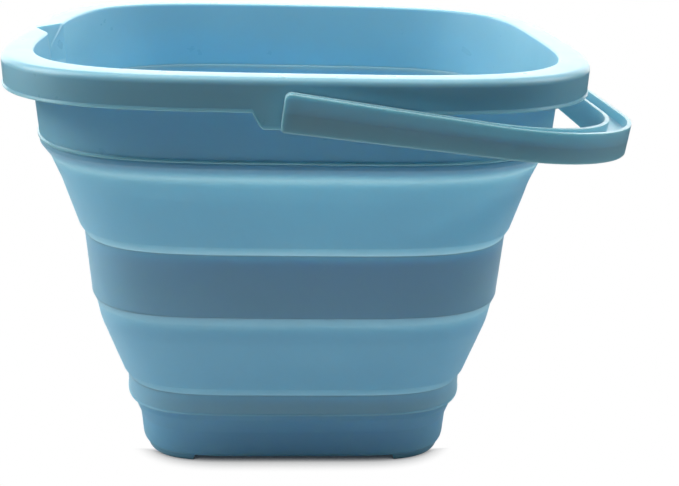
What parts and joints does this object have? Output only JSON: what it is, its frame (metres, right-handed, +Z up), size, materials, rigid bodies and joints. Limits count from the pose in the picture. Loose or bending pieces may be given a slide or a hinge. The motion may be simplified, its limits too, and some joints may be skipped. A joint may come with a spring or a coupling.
{
  "type": "collapsible tub",
  "caption": "Square collapsible bucket with a rigid rolled rim, a swinging carry handle, folding stepped walls and a rigid footed base tray; it folds down flat.",
  "frame": {"origin": "centre of the base panel's underside, between the four feet, which stand 3 mm below it", "axes": "+Z up out of the open mouth, -Y towards the front, -X towards the side with the pouring notch, +X towards the side where the handle lies folded down"},
  "size_m": [0.317, 0.3144, 0.225],
  "materials": {
    "rim_plastic": "satin",
    "handle_plastic": "satin",
    "tray_plastic": "satin",
    "fold_elastomer": "matte",
    "band_elastomer": "matte"
  },
  "bodies": {
    "base": {"base_tray": "tray_plastic", "lower_band": "band_elastomer", "lower_fold": "fold_elastomer"},
    "middle": {"middle_band": "band_elastomer", "upper_fold": "fold_elastomer"},
    "rim": {"rim_frame": "rim_plastic"},
    "handle": {"carry_handle": "handle_plastic"}
  },
  "joints": [
    {"name": "lower_collapse", "type": "slide", "parent": "base", "child": "middle", "axis": [0, 0, 1], "range_m": [-0.082, 0], "deforming": ["lower_fold"]},
    {"name": "upper_collapse", "type": "slide", "parent": "middle", "child": "rim", "axis": [0, 0, 1], "range_m": [-0.078, 0], "deforming": ["upper_fold"]},
    {"name": "handle_swing", "type": "hinge", "parent": "rim", "child": "handle", "pos_m": [0, 0, 0.2072], "axis": [0, -1, 0], "range_deg": [0, 194]}
  ]
}
